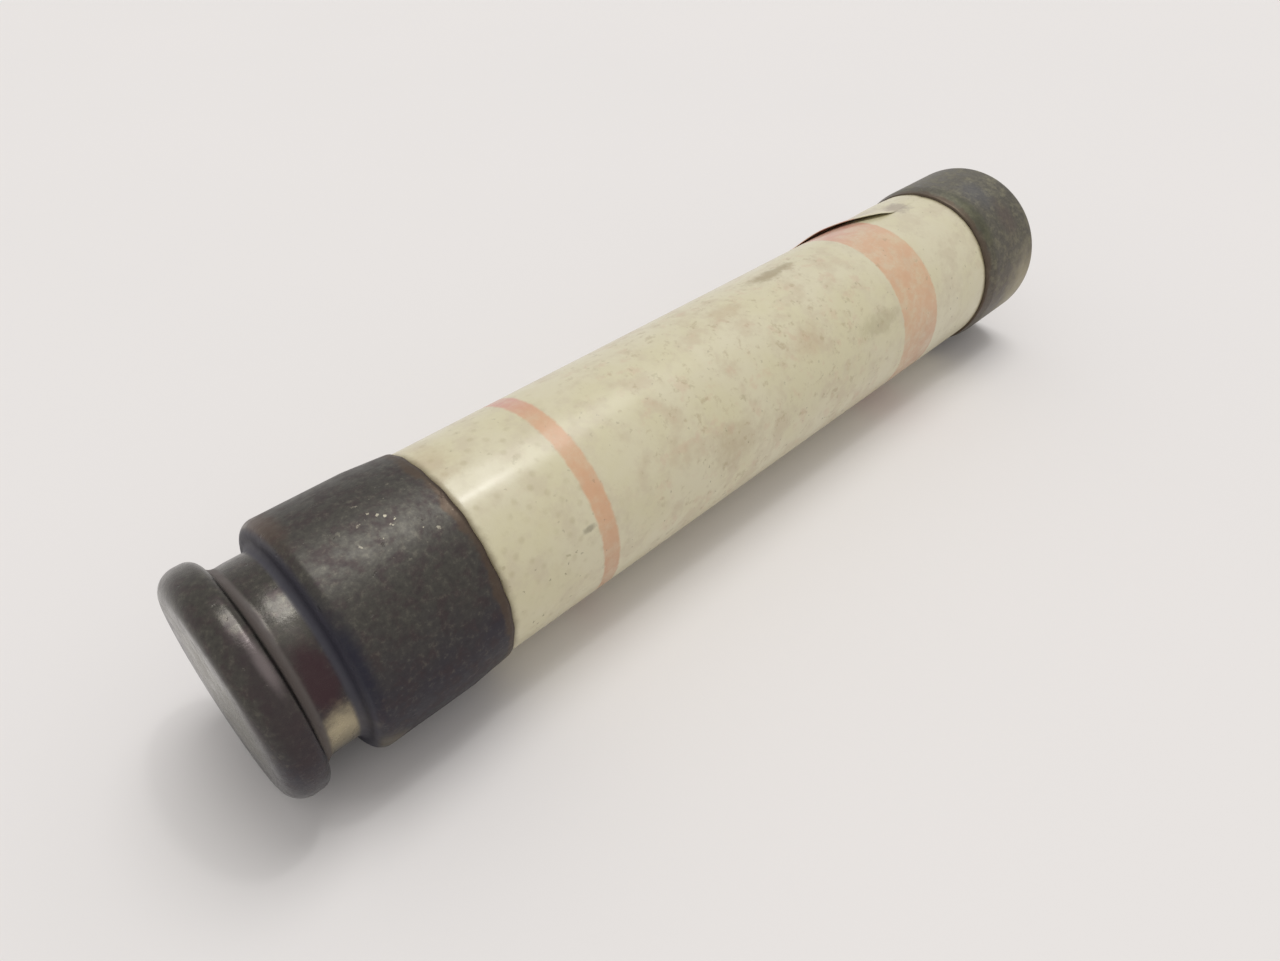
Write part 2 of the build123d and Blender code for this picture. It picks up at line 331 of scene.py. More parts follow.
# %% Group: smudge
def smudge_group():
    """A ragged blot about a point: 1 where the distance over Size is under Core, and 0 past 1."""
    tree, graph, given, out = new_group(
        "smudge",
        {"Vector": "vector", "Centre": "vector", "Size": "vector", "Ragged": "float",
         "Ragged Scale": "float", "Core": "float"},
        {"Mask": "float"},
    )
    off = graph.vector("SUBTRACT", given["Vector"], given["Centre"])
    length = graph.add("ShaderNodeVectorMath", {"operation": "LENGTH"})
    graph.put(length.inputs[0], graph.vector("DIVIDE", off, given["Size"]))
    edge = graph.noise(given["Vector"], given["Ragged Scale"], 4.0, 0.65)
    swing = graph.math("MULTIPLY", graph.math("SUBTRACT", edge, 0.5), given["Ragged"])
    reach = graph.math("ADD", length.outputs["Value"], swing)
    graph.put(out["Mask"], graph.ease(reach, given["Core"], 1.0, 1.0, 0.0))
    return tree


smudge = smudge_group()

# %% [markdown]
# ## Printed bands
# The label has two orange rings. They are ink on paper, so their edges waver a little, and wear
# has thinned them unevenly. A mask between two places along the fuse serves both.

# %% Group: printed band
INK_EDGE = 0.22 * MM
INK_WAVER = 0.5 * MM


def band_group():
    """A ring of print between two places along the fuse, with worn edges and worn-through spots."""
    tree, graph, given, out = new_group(
        "printed band",
        {"Vector": "vector", "Start": "float", "End": "float", "Wear": "float"},
        {"Mask": "float"},
    )
    ragged = graph.noise(given["Vector"], 1400.0, 3.0)
    shift = graph.math("MULTIPLY", graph.math("SUBTRACT", ragged, 0.5), INK_WAVER)
    place = graph.math("ADD", graph.parts(given["Vector"])["X"], shift)
    after = graph.ease(graph.math("SUBTRACT", place, given["Start"]), -INK_EDGE, INK_EDGE)
    before = graph.ease(graph.math("SUBTRACT", given["End"], place), -INK_EDGE, INK_EDGE)
    worn = graph.noise(given["Vector"], 420.0, 6.0, 0.7)
    left = graph.ease(worn, 0.30, 0.62, 1.0, 0.35)
    kept = graph.math("SUBTRACT", 1.0, graph.math("MULTIPLY", given["Wear"], left))
    graph.put(out["Mask"], graph.math("MULTIPLY", graph.math("MULTIPLY", after, before), kept))
    return tree


printed_band = band_group()

# %% [markdown]
# ## The finish of a material
# Each material is one Principled shader. What changes over the surface is linked into it, and
# what is the same everywhere is set on its own socket.

# %% Starting a material
def new_material(name, metallic=0.0, coat=0.0, specular=0.5):
    """A material with its graph, its Principled shader and the piece's own place as a vector."""
    material = bpy.data.materials.new(name)
    material.use_nodes = True
    graph = Graph(material.node_tree)
    shader = graph.add("ShaderNodeBsdfPrincipled", Metallic=metallic, Coat_Weight=coat)
    shader.inputs["Specular IOR Level"].default_value = specular
    output = graph.add("ShaderNodeOutputMaterial")
    graph.put(output.inputs["Surface"], shader.outputs["BSDF"])
    place = graph.add("ShaderNodeTexCoord").outputs["Object"]
    print("material", name)
    return material, graph, shader.inputs, place


def add_bump(graph, shader, height, distance):
    """Raises the surface by height times distance, in metres, as the light sees it."""
    bump = graph.add("ShaderNodeBump", Height=height, Distance=distance, Strength=1.0)
    graph.put(shader["Normal"], bump.outputs["Normal"])


def spot_on_tube(from_end, angle, radius):
    """The point at from_end and this radius, at angle degrees from +Y towards +Z."""
    turn = math.radians(angle)
    return (end_x + from_end, radius * math.cos(turn), radius * math.sin(turn))


# %% [markdown]
# ## Tarnished brass
# Brass that has lain in a damp panel for decades turns brown, then nearly black, with olive and
# purple patches where the film is thinner. It stays a metal under a thin dull film, so it keeps
# some mirror-like sheen: more on the groove, which the block's clip polished, than on the barrel.

# %% Group: old brass
OXIDE_DRIFT = 16 * MM


def old_brass_group():
    """Oxide in fine patches, mottled darker and dusted paler, over a surface with small pits.

    Its main colour fades from Lower to Upper between the heights Low and High, measured along Z
    and shifted up or down by a noise as wide as OXIDE_DRIFT.
    """
    tree, graph, given, out = new_group(
        "old brass",
        {"Vector": "vector", "Upper": "color", "Lower": "color", "Patch": "color", "Low": "float",
         "High": "float"},
        {"Color": "color", "Fine": "float", "Height": "float"},
    )
    drift = graph.math("SUBTRACT", graph.noise(given["Vector"], 130.0, 4.0, 0.6), 0.5)
    place = graph.math("ADD", graph.parts(given["Vector"])["Z"],
                       graph.math("MULTIPLY", drift, OXIDE_DRIFT))
    upper_share = graph.ease(place, given["Low"], given["High"])
    main = graph.blend(upper_share, given["Lower"], given["Upper"])
    patches = graph.use(patchy_colour, Vector=given["Vector"], Scale=210.0, Main=main, Second=main,
                        Third=given["Patch"], Third_Share=0.55)
    film = graph.noise(given["Vector"], 1500.0, 5.0, 0.7)
    thick = graph.ease(film, 0.42, 0.72, 0.0, 0.45)
    thin = graph.ease(film, 0.48, 0.30, 0.0, 0.28)
    mottled = graph.blend(thick, patches["Color"], srgb(52, 48, 50))
    dusty = graph.blend(thin, mottled, srgb(120, 116, 104))
    graph.put(out["Color"], dusty)
    graph.put(out["Fine"], patches["Fine"])
    pits = graph.use(specks, Vector=given["Vector"], Scale=900.0, Size=0.3, Share=0.12)["Mask"]
    grain = graph.math("MULTIPLY", graph.noise(given["Vector"], 2600.0, 4.0, 0.6), 0.6)
    rolling = graph.math("MULTIPLY", patches["Wide"], 1.5)
    graph.put(out["Height"], graph.math("ADD", graph.math("SUBTRACT", grain, pits), rolling))
    return tree


old_brass = old_brass_group()


# %% Marks on the brass, and painted highlights, shade and reflections
BARE_BRASS = srgb(186, 180, 160)
NICKS_SPREAD = (7 * MM, 6 * MM, 6 * MM)


def tint_spots(graph, place, colour, spots):
    """Fades colour to each spot's tint inside a ragged blot at its place on the fuse.

    A spot is (from_end, angle, radius, length, width, strength, core, tint).
    """
    for from_end, angle, radius, length, width, strength, core, tint in spots:
        blot = graph.use(smudge, Vector=place, Centre=spot_on_tube(from_end, angle, radius),
                         Size=(length, width, width), Ragged=0.7, Ragged_Scale=420.0, Core=core)
        colour = graph.blend(graph.math("MULTIPLY", blot["Mask"], strength), colour, tint)
    return colour


def add_nicks(graph, place, colour, from_end, angle, strength):
    """Pale nicks of two sizes, gathered about one place on the barrel."""
    about = graph.use(smudge, Vector=place, Centre=spot_on_tube(from_end, angle, barrel_radius),
                      Size=NICKS_SPREAD, Ragged=0.8, Ragged_Scale=300.0, Core=0.3)["Mask"]
    here = graph.math("MULTIPLY", about, strength)
    for scale, size, share in ((1000.0, 0.36, 0.14), (1700.0, 0.38, 0.12)):
        nick = graph.use(specks, Vector=place, Scale=scale, Size=size, Share=share)["Mask"]
        colour = graph.blend(graph.math("MULTIPLY", nick, here), colour, BARE_BRASS)
    return colour


def add_rim_grime(graph, place, along, colour, rim):
    """Brown grime along the rim, whose noise reaches up to 2.4 mm from it."""
    from_rim = graph.math("ABSOLUTE", graph.math("SUBTRACT", along, rim))
    reach = graph.math("MULTIPLY", graph.noise(place, 500.0, 4.0), -2.4 * MM)
    grime = graph.ease(graph.math("ADD", from_rim, reach), -0.6 * MM, 0.2 * MM, 0.7, 0.0)
    return graph.blend(grime, colour, srgb(86, 72, 60))


def add_root_dust_and_shade(graph, along, colour, roots):
    """The colour with each root's tint on it, and the mask of all the roots.

    A root is (from_end, half_width, tint), and its tint fades to nothing at its half width. The
    tint makes the flange's root dusty, and in the shoulder's root it is painted dark reflection.
    """
    dust_and_shade = None
    for from_end, half_width, tint in roots:
        away = graph.math("ABSOLUTE", graph.math("SUBTRACT", along, end_x + from_end))
        packed = graph.ease(away, 0.35 * half_width, half_width, 0.9, 0.0)
        colour = graph.blend(packed, colour, tint)
        dust_and_shade = packed if dust_and_shade is None else graph.math("MAXIMUM", dust_and_shade, packed)
    return colour, dust_and_shade


# %% Tarnished brass
BRASS_METALLIC = 0.85
OXIDE_BUMP = 0.025 * MM
DUSTY_ROUGHNESS = 0.35


def tarnished_brass(name, film_colours, spots, nicks, rim, smooth_until, roots=()):
    """Dark oxide over brass: smooth up to smooth_until along the fuse, and satin past it.

    film_colours are the old brass group's Upper, Lower and Patch, and nicks are their place,
    angle and strength. A groove's roots aren't metal and are rougher; their tint makes the
    flange's root dusty and paints a dark reflection in the shoulder's root.
    """
    material, graph, shader, place = new_material(name, metallic=BRASS_METALLIC)
    upper, lower, patch = film_colours
    film = graph.use(old_brass, Vector=place, Upper=upper, Lower=lower, Patch=patch,
                     Low=-2 * MM, High=10 * MM)
    along = graph.parts(place)["X"]
    colour = tint_spots(graph, place, film["Color"], spots)
    colour = add_nicks(graph, place, colour, *nicks)
    colour = add_rim_grime(graph, place, along, colour, rim)
    worn = graph.ease(along, smooth_until - 0.5 * MM, smooth_until + 1.5 * MM, 0.24, 0.44)
    roughness = graph.math("ADD", worn, graph.ease(film["Fine"], 0.3, 0.7, -0.04, 0.09))
    if roots:
        colour, dust_and_shade = add_root_dust_and_shade(graph, along, colour, roots)
        graph.put(shader["Metallic"], graph.ease(dust_and_shade, 0.0, 1.0, BRASS_METALLIC, 0.0))
        roughness = graph.math("ADD", roughness, graph.math("MULTIPLY", dust_and_shade, DUSTY_ROUGHNESS))
    graph.put(shader["Base Color"], colour)
    graph.put(shader["Roughness"], roughness)
    add_bump(graph, shader, film["Height"], OXIDE_BUMP)
    return material


# %% Brass of the two ferrules
REJECTION_SPOTS = [
    # from end, angle, radius, length, width, strength, core, tint
    # the end face: painted reflection of the table, lighter and greenish grey
    (0.0 * MM, 0, 0.0 * MM, 1.3 * MM, 11.6 * MM, 0.55, 0.45, srgb(132, 130, 112)),
    # the flange's front corner: painted dark reflection
    (2.6 * MM, 155, 12.4 * MM, 2.0 * MM, 12.0 * MM, 0.65, 0.40, srgb(62, 54, 56)),
    # the flange's crest: painted highlight
    (3.2 * MM, 132, 12.9 * MM, 0.8 * MM, 4.5 * MM, 0.55, 0.10, srgb(138, 128, 128)),
    # the shoulder: painted dark reflection, navy
    (9.4 * MM, 152, 12.6 * MM, 1.9 * MM, 9.5 * MM, 0.80, 0.15, srgb(40, 41, 54)),
    # the groove's neck: painted highlight
    (6.6 * MM, 120, 10.9 * MM, 2.8 * MM, 4.0 * MM, 0.30, 0.0, srgb(124, 121, 115)),
    (6.6 * MM, 152, 10.9 * MM, 2.3 * MM, 5.2 * MM, 0.85, 0.40, srgb(64, 46, 50)),
    # the neck's underside: bare brass with a painted reflection of the table
    (6.9 * MM, 193, 10.9 * MM, 3.2 * MM, 5.6 * MM, 0.90, 0.25, srgb(186, 174, 144)),
    (10.2 * MM, 208, 13.0 * MM, 2.5 * MM, 4.0 * MM, 0.50, 0.20, srgb(140, 130, 108)),
    (10.0 * MM, 70, 13.0 * MM, 2.2 * MM, 7.0 * MM, 0.50, 0.20, srgb(100, 80, 68)),
]
PLAIN_SPOTS = [
    # the plain ferrule's lower side: bare brass with a painted reflection of the table
    (137 * MM, 190, 13.3 * MM, 8.0 * MM, 10.0 * MM, 0.75, 0.05, srgb(168, 160, 134)),
    (126.0 * MM, 120, 13.2 * MM, 2.2 * MM, 9.5 * MM, 0.60, 0.30, srgb(74, 76, 58)),
    (131 * MM, 108, 13.5 * MM, 4.0 * MM, 5.0 * MM, 0.35, 0.20, srgb(86, 88, 98)),
    (133 * MM, 135, 13.5 * MM, 3.0 * MM, 5.0 * MM, 0.40, 0.20, srgb(96, 80, 76)),
]
GROOVE_ROOTS = [
    # from end, half width, tint: dusty in the flange's root, painted dark reflection in the
    # shoulder's
    (4.7 * MM, 0.75 * MM, srgb(84, 76, 72)),
    # the shoulder's root: painted dark reflection, navy
    (8.75 * MM, 0.85 * MM, srgb(58, 57, 68)),
]
rejection_brass = tarnished_brass(
    "tarnished brass, rejection end", (srgb(76, 74, 69), srgb(56, 53, 60), srgb(70, 58, 60)),
    REJECTION_SPOTS, (20.5 * MM, 108, 0.6), rim_x, end_x + 9.5 * MM, GROOVE_ROOTS)
plain_brass = tarnished_brass(
    "tarnished brass, plain end", (srgb(94, 91, 81), srgb(94, 86, 76), srgb(134, 130, 108)),
    PLAIN_SPOTS, (132 * MM, 100, 0.15), plain_rim_x, end_x)

# %% [markdown]
# ## The two ferrules
# Each ferrule is drawn from sheet brass, so its wall is one even thickness: the outside profile
# and the inside profile are the same outline at two distances. Turning that closed outline round
# the axis gives a watertight cup. Hard use has left shallow dents, which only ever go inwards.

# %% Ferrule outlines
FERRULE_WALL = 0.75 * MM
RIM_DROP = 0.4 * MM
FLANGE_DROP = 0.55 * MM
GROOVE_DEPTH = 2.6 * MM
FLANGE_BACK = 4.0 * MM      # from the closed end, as are the next two
FLANGE_ROOT = 4.5 * MM
SHOULDER = 9.0 * MM


def rejection_outline(inset):
    """From the axis at the closed end, over the flange and groove, to the swaged rim.

    Rows are (x, radius, fillet), and the whole outline lies inset inside the ferrule's skin.
    """
    barrel = barrel_radius - inset
    flange = barrel - FLANGE_DROP
    groove = barrel - GROOVE_DEPTH
    return [
        (end_x + inset, 0, 0),
        (end_x + inset, flange, 2.4 * MM - inset),
        (end_x + FLANGE_BACK - inset, flange, 1.2 * MM - inset),
        (end_x + FLANGE_ROOT - inset, groove, 1.3 * MM + inset),
        (end_x + SHOULDER + inset, groove, 0.9 * MM + inset),
        (end_x + SHOULDER + inset, barrel, 1.5 * MM - inset),
        (rim_x - 4.9 * MM, barrel, 0),
        (rim_x, barrel - RIM_DROP, 0),
    ]


def plain_outline(inset):
    """From the axis at the closed end, round its corner, to the swaged rim, inset all along."""
    barrel = barrel_radius - inset
    face = plain_end_x - inset
    return [
        (face, 0, 0),
        (face, barrel, 1.5 * MM - inset),
        (plain_rim_x + 2.5 * MM, barrel, 0),
        (plain_rim_x, barrel - RIM_DROP, 0),
    ]


# %% Dents
def dents(x, turn, marks):
    """The depth of all dents at each point: a bell curve about each mark, added up.

    A mark is (from_end, angle, length, width, depth), with its width measured round the barrel.
    """
    depth = np.zeros_like(x)
    for from_end, angle, length, width, deep in marks:
        around = (turn - math.radians(angle) + math.pi) % (2 * math.pi) - math.pi
        reach = ((x - end_x - from_end) / length) ** 2 + (around * barrel_radius / width) ** 2
        depth += deep * np.exp(-reach)
    return depth


# %% Turning a ferrule
AROUND = 256
PROFILE_SPACING = 0.45 * MM
OUT_OF_ROUND = 0.02 * MM
RIM_WAVER = 0.05 * MM
FLANGE_SAG = (0.05 * MM, -0.35 * MM)


def ferrule_piece(name, outline, marks, wave_seed, material):
    """Turns the wall's closed outline about X: the outside, then the inside back to the axis.

    Only the outside has dents and a slow out-of-round wave, both inwards, so the piece never
    passes its true size. The first and last rows shrink to single points on the axis. The
    flange was pressed a little off centre, so its rings shift by FLANGE_SAG across the axis.
    """
    outside = rounded_profile(outline(0), PROFILE_SPACING)
    inside = rounded_profile(outline(FERRULE_WALL), 2 * PROFILE_SPACING)[::-1]
    profile = np.concatenate([outside, inside])
    turn = np.arange(AROUND) * 2 * math.pi / AROUND
    x = np.repeat(profile[1:-1, :1], AROUND, axis=1)
    radius = np.repeat(profile[1:-1, 1:], AROUND, axis=1)
    is_outside = (np.arange(1, len(profile) - 1) < len(outside))[:, None]
    phases = np.random.default_rng(wave_seed).uniform(0, 2 * math.pi, 3)
    wave = sum(np.sin(lobes * turn + phase) for lobes, phase in zip((2, 3, 5), phases)) / 3
    drop = dents(x, turn[None, :], marks) + OUT_OF_ROUND * (1 + wave)[None, :]
    share = np.clip(radius / barrel_radius, 0, 1)
    radius = radius - np.where(is_outside, drop * share, 0)
    rim_rows = np.exp(-((x - profile[len(outside) - 1, 0]) / (0.8 * MM)) ** 2)
    waver = np.sin(7 * turn + phases[0]) + np.sin(23 * turn + phases[1])
    x = x + rim_rows * RIM_WAVER * waver[None, :]
    ring = np.stack([x, radius * np.cos(turn), radius * np.sin(turn)], axis=-1).reshape(-1, 3)
    poles = [[profile[0, 0], 0, 0], [profile[-1, 0], 0, 0]]
    sag = smooth_step(6.5 * MM, 3.5 * MM, x - end_x) * np.where(is_outside, 1.0, 0.0)
    ring[:, 1:] += sag.reshape(-1, 1) * np.array(FLANGE_SAG)
    points = np.concatenate([ring, poles])
    rows = len(profile) - 2
    quads = grid_quads(rows, AROUND, closed_columns=True)
    column = np.arange(AROUND)
    following = (column + 1) % AROUND
    last = (rows - 1) * AROUND
    first_fan = np.stack([np.full(AROUND, len(ring)), following, column], axis=-1)
    last_fan = np.stack([np.full(AROUND, len(ring) + 1), last + column, last + following], axis=-1)
    faces = [*quads.tolist(), *first_fan.tolist(), *last_fan.tolist()]
    if profile[0, 0] > profile[-1, 0]:
        faces = [face[::-1] for face in faces]
    return make_piece(name, points, faces, material)


# %% Both ferrules
REJECTION_MARKS = [
    # from end, angle, length, width, depth
    (15 * MM, 100, 2.4 * MM, 3.0 * MM, 0.05 * MM),
    (19 * MM, 150, 3.0 * MM, 2.0 * MM, 0.06 * MM),
    (13 * MM, 200, 2.0 * MM, 4.0 * MM, 0.05 * MM),
    (3 * MM, 175, 2.2 * MM, 4.0 * MM, 0.10 * MM),
    (2 * MM, 250, 2.0 * MM, 3.0 * MM, 0.12 * MM),
    (16 * MM, 320, 3.0 * MM, 3.0 * MM, 0.07 * MM),
]
PLAIN_MARKS = [
    (130 * MM, 95, 2.5 * MM, 3.0 * MM, 0.06 * MM),
    (134 * MM, 150, 2.0 * MM, 3.0 * MM, 0.05 * MM),
    (131 * MM, 260, 3.0 * MM, 4.0 * MM, 0.07 * MM),
]
rejection_cap = ferrule_piece(
    "rejection_cap", rejection_outline, REJECTION_MARKS, 4, rejection_brass)
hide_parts("rejection_ferrule")
plain_cap = ferrule_piece("plain_cap", plain_outline, PLAIN_MARKS, 9, plain_brass)
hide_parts("plain_ferrule")

# %% [markdown]
# ## The label
# The label is one strip of varnished paper wrapped round the tube, and its free end overlaps
# its start. On the upper back the free end runs at a slant and has lifted, which shows as a dark
# slit. A strip like this is a sheet with two sides: the grid gives each point an angle and a
# radius, and the wall between the two sides closes it.

# %% The label's seam
PAPER = 0.1 * MM
SEAM_ANGLE = 43.0
SEAM_SLANT = 41.0
SLANT_START = 98 * MM
SLANT_END = 115 * MM
OVERLAP_ANGLE = 24.0
LIFT = 0.58 * MM
BUBBLE_HEIGHT = 0.25 * MM


def seam_angle(from_end):
    """The free end's angle, in degrees, at each place along the fuse."""
    return SEAM_ANGLE + SEAM_SLANT * smooth_step(SLANT_START, SLANT_END, from_end)


def glued_down(from_end):
    """1 where the free end is still glued flat, and 0 along the lifted slit."""
    return smooth_step(110 * MM, 114 * MM, from_end) + smooth_step(98 * MM, 95 * MM, from_end)


# %% The paper's two sides
def label_radius(from_end, angle, seam):
    """The paper's inner radius: on the tube, then over its own start, then lifted near its end.

    Where the end is glued it sinks a hair into the paper below, so no gap shows, and past the
    slit a low bell-shaped bubble is left.
    """
    before_end = seam + 360 - angle
    over_start = smooth_step(OVERLAP_ANGLE + 14, OVERLAP_ANGLE, before_end)
    slit = smooth_step(99 * MM, 105 * MM, from_end) * smooth_step(116 * MM, 111.5 * MM, from_end)
    lifted = slit * smooth_step(22, 0, before_end)
    bubble = np.exp(-(((from_end - 118 * MM) / (6 * MM)) ** 2) - ((before_end - 26) / 14) ** 2)
    sunk = 0.25 * PAPER * glued_down(from_end) * smooth_step(5, 0, before_end)
    raised = over_start * 1.03 * PAPER + LIFT * lifted + BUBBLE_HEIGHT * bubble
    return tube_radius + raised - sunk


def label_thickness(from_end, before_end):
    """Paper that thins to a feather edge where its free end is glued down flat."""
    return PAPER * (1 - 0.9 * glued_down(from_end) * smooth_step(8, 0, before_end))


# %% The label as one strip
LABEL_GAP = 0.06 * MM
FINE_FROM = 94 * MM
COARSE_ROWS, FINE_ROWS, LABEL_COLUMNS = 90, 70, 250


def label_piece(material):
    """Two grids of points, the paper's inner and outer side, joined round all four edges.

    Rows lie closer together past FINE_FROM, where the lifted end needs them. The attribute
    wrap holds each point's place on the paper laid flat.
    """
    label_start, fine_start = rim_x + LABEL_GAP, end_x + FINE_FROM
    coarse = np.linspace(label_start, fine_start, COARSE_ROWS, endpoint=False)
    fine = np.linspace(fine_start, plain_rim_x - LABEL_GAP, FINE_ROWS)
    x = np.concatenate([coarse, fine])[:, None]
    from_end = x - end_x
    seam = seam_angle(from_end)
    share = np.linspace(0, 1, LABEL_COLUMNS)[None, :]
    angle = seam - OVERLAP_ANGLE + share * (360 + OVERLAP_ANGLE)
    inner = label_radius(from_end, angle, seam)
    turn = np.radians(angle)
    x = np.broadcast_to(x, angle.shape)
    outer = inner + label_thickness(from_end, seam + 360 - angle)
    sides = [np.stack([x, r * np.cos(turn), r * np.sin(turn)], axis=-1) for r in (inner, outer)]
    rows, columns = angle.shape
    points = np.concatenate([side.reshape(-1, 3) for side in sides])
    quads = grid_quads(rows, columns)
    number = np.arange(rows * columns).reshape(rows, columns)
    border = np.concatenate([number[0], number[1:, -1], number[-1, -2::-1], number[-2:0:-1, 0]])
    far = np.roll(border, -1)
    shift = rows * columns
    wall = np.stack([border, border + shift, far + shift, far], axis=-1)
    faces = [*quads[:, ::-1].tolist(), *(quads + shift).tolist(), *wall[:, ::-1].tolist()]
    piece = make_piece("paper_label", points, faces, material)
    around = np.radians(angle) * tube_radius
    wrap = np.stack([from_end * np.ones_like(angle), around, np.zeros_like(angle)], axis=-1)
    wrap = np.concatenate([wrap.reshape(-1, 3)] * 2)
    attribute = piece.data.attributes.new("wrap", "FLOAT_VECTOR", "POINT")
    attribute.data.foreach_set("vector", wrap.ravel().astype(np.float32))
    return piece


# %% [markdown]
# ## Faded, varnished paper
# Under the varnish the paper has gone from white to a patchy cream. A fine diagonal dot screen
# still shows, most of all near the rejection end. Two orange bands are worn, dirt has gathered
# against the ferrules, and brown specks are scattered over the lower half. The lettering on the
# real one has nearly gone, and here its place is left bare.

# %% Where the print and stains are
DOT_PITCH = 1.8 * MM
NARROW_BAND = (38.5 * MM, 40.9 * MM)
WIDE_BAND = (99.7 * MM, 108.75 * MM)
STAINS = [
    # from end, angle, length, width, strength, colour
    (85 * MM, 80, 6.5 * MM, 1.8 * MM, 0.75, srgb(150, 134, 96)),
    (72 * MM, 92, 4.0 * MM, 2.2 * MM, 0.35, srgb(178, 152, 118)),
    (117 * MM, 80, 3.4 * MM, 3.0 * MM, 0.80, srgb(158, 144, 126)),
    (112 * MM, 66, 6.0 * MM, 2.2 * MM, 0.55, srgb(172, 160, 146)),
    (27 * MM, 84, 3.4 * MM, 5.0 * MM, 0.28, srgb(176, 150, 116)),
    (94 * MM, 150, 7.0 * MM, 2.5 * MM, 0.35, srgb(150, 140, 98)),
    (62 * MM, 165, 7.0 * MM, 4.0 * MM, 0.30, srgb(168, 146, 112)),
    (79 * MM, 135, 5.0 * MM, 3.0 * MM, 0.28, srgb(184, 156, 124)),
    (37.3 * MM, 158, 1.1 * MM, 0.5 * MM, 0.60, srgb(120, 112, 90)),
]


# %% Aged paper
BLOTCHES = [
    # noise scale, from, to, strength, tint
    (260.0, 0.52, 0.68, 0.34, srgb(196, 178, 146)),
    (410.0, 0.54, 0.68, 0.30, srgb(200, 168, 142)),
    (760.0, 0.56, 0.70, 0.46, srgb(166, 148, 112)),
]


def aged_paper(graph, place, along):
    """Patchy cream with brown blotches, strongest along the middle; and its fine noise."""
    patches = graph.use(patchy_colour, Vector=place, Scale=85.0, Main=srgb(210, 202, 172),
                        Second=srgb(207, 199, 164), Third=srgb(199, 188, 160), Third_Share=0.7)
    colour = patches["Color"]
    middle = graph.math("MULTIPLY", graph.ease(along, end_x + 43 * MM, end_x + 50 * MM),
                        graph.ease(along, end_x + 98 * MM, end_x + 94 * MM))
    weight = graph.math("ADD", graph.math("MULTIPLY", middle, 0.8), 0.2)
    for scale, low, high, strength, tint in BLOTCHES:
        blotch = graph.ease(graph.noise(place, scale, 5.0, 0.62), low, high, 0.0, strength)
        colour = graph.blend(graph.math("MULTIPLY", blotch, weight), colour, tint)
    return colour, patches["Fine"]


# %% Print on the paper
def dot_screen(graph, along, fine, colour):
    """Rows of dots at 45 degrees on the flat paper, weaker past the narrow band."""
    wrap = graph.add("ShaderNodeAttribute", {"attribute_name": "wrap"}).outputs["Vector"]
    turned = graph.add("ShaderNodeMapping", Vector=wrap, Rotation=(0, 0, math.radians(45)),
                       Scale=(1 / DOT_PITCH,) * 3).outputs[0]
    dots = graph.add("ShaderNodeTexVoronoi", Vector=turned, Scale=1.0, Randomness=0.22)
    dot = graph.ease(dots.outputs["Distance"], 0.08, 0.32, 1.0, 0.0)
    fade = graph.ease(along, end_x + 33 * MM, end_x + 46 * MM, 0.30, 0.10)
    screen = graph.math("MULTIPLY", graph.math("MULTIPLY", dot, fade), graph.ease(fine, 0.35, 0.6))
    return graph.blend(screen, colour, srgb(166, 154, 112))


def worn_bands(graph, place, across, up, colour):
    """Faded orange ink in two bands, with painted shade making it browner underneath, and redder on
    the sheltered upper back.
    """
    redder = graph.math("MULTIPLY", graph.ease(up, 6 * MM, 12 * MM),
                        graph.ease(across, -2 * MM, 6 * MM))
    # painted shade: the ink is browner on the underside
    under = graph.ease(up, 6 * MM, -4 * MM)
    ink = graph.blend(under, srgb(208, 152, 112), srgb(190, 134, 96))
    ink = graph.blend(redder, ink, srgb(200, 122, 114))
    for (start, end), wear in ((NARROW_BAND, 0.45), (WIDE_BAND, 0.62)):
        band = graph.use(printed_band, Vector=place, Start=end_x + start, End=end_x + end,
                         Wear=wear)
        colour = graph.blend(graph.math("MULTIPLY", band["Mask"], 0.9), colour, ink)
    return colour


# %% Stains, flecks and dirt
FLECKS = [
    # scale, size, share, strength, tint
    (650.0, 0.34, 0.10, 0.55, srgb(140, 128, 88)),
    (1500.0, 0.36, 0.07, 0.60, srgb(118, 104, 78)),
    (300.0, 0.30, 0.10, 0.28, srgb(176, 148, 112)),
]


def add_stains(graph, place, colour):
    """The stains that have a place of their own on the label."""
    for from_end, angle, length, width, strength, tint in STAINS:
        centre = spot_on_tube(from_end, angle, tube_radius + PAPER)
        blot = graph.use(smudge, Vector=place, Centre=centre, Size=(length, width, width),
                         Ragged=1.5, Ragged_Scale=620.0, Core=0.25)
        colour = graph.blend(graph.math("MULTIPLY", blot["Mask"], strength), colour, tint)
    return colour


def add_flecks(graph, place, up, colour):
    """Scattered flecks of three sizes, at half strength on top and at full strength low down."""
    lower = graph.ease(up, 11 * MM, -2 * MM)
    for scale, size, share, strength, tint in FLECKS:
        mask = graph.use(specks, Vector=place, Scale=scale, Size=size, Share=share)["Mask"]
        worth = graph.ease(lower, 0.0, 1.0, strength * 0.45, strength)
        colour = graph.blend(graph.math("MULTIPLY", mask, worth), colour, tint)
    return colour


def add_edge_dirt(graph, place, along, colour):
    """Dirt gathered against both ferrules' rims, with a ragged edge up to 1.6 mm out."""
    reach = graph.math("MULTIPLY", graph.noise(place, 700.0, 5.0, 0.65), 1.6 * MM)
    near_rejection = graph.math("SUBTRACT", graph.math("SUBTRACT", along, rim_x), reach)
    near_plain = graph.math("SUBTRACT", graph.math("SUBTRACT", plain_rim_x, along), reach)
    nearest = graph.math("MINIMUM", near_rejection, near_plain)
    dirt = graph.ease(nearest, -0.8 * MM, 0.4 * MM, 0.55, 0.0)
    return graph.blend(dirt, colour, srgb(128, 112, 78))


# %% The finished label
VARNISH = 0.6
VARNISH_ROUGHNESS = 0.20
PAPER_BUMP = 0.04 * MM


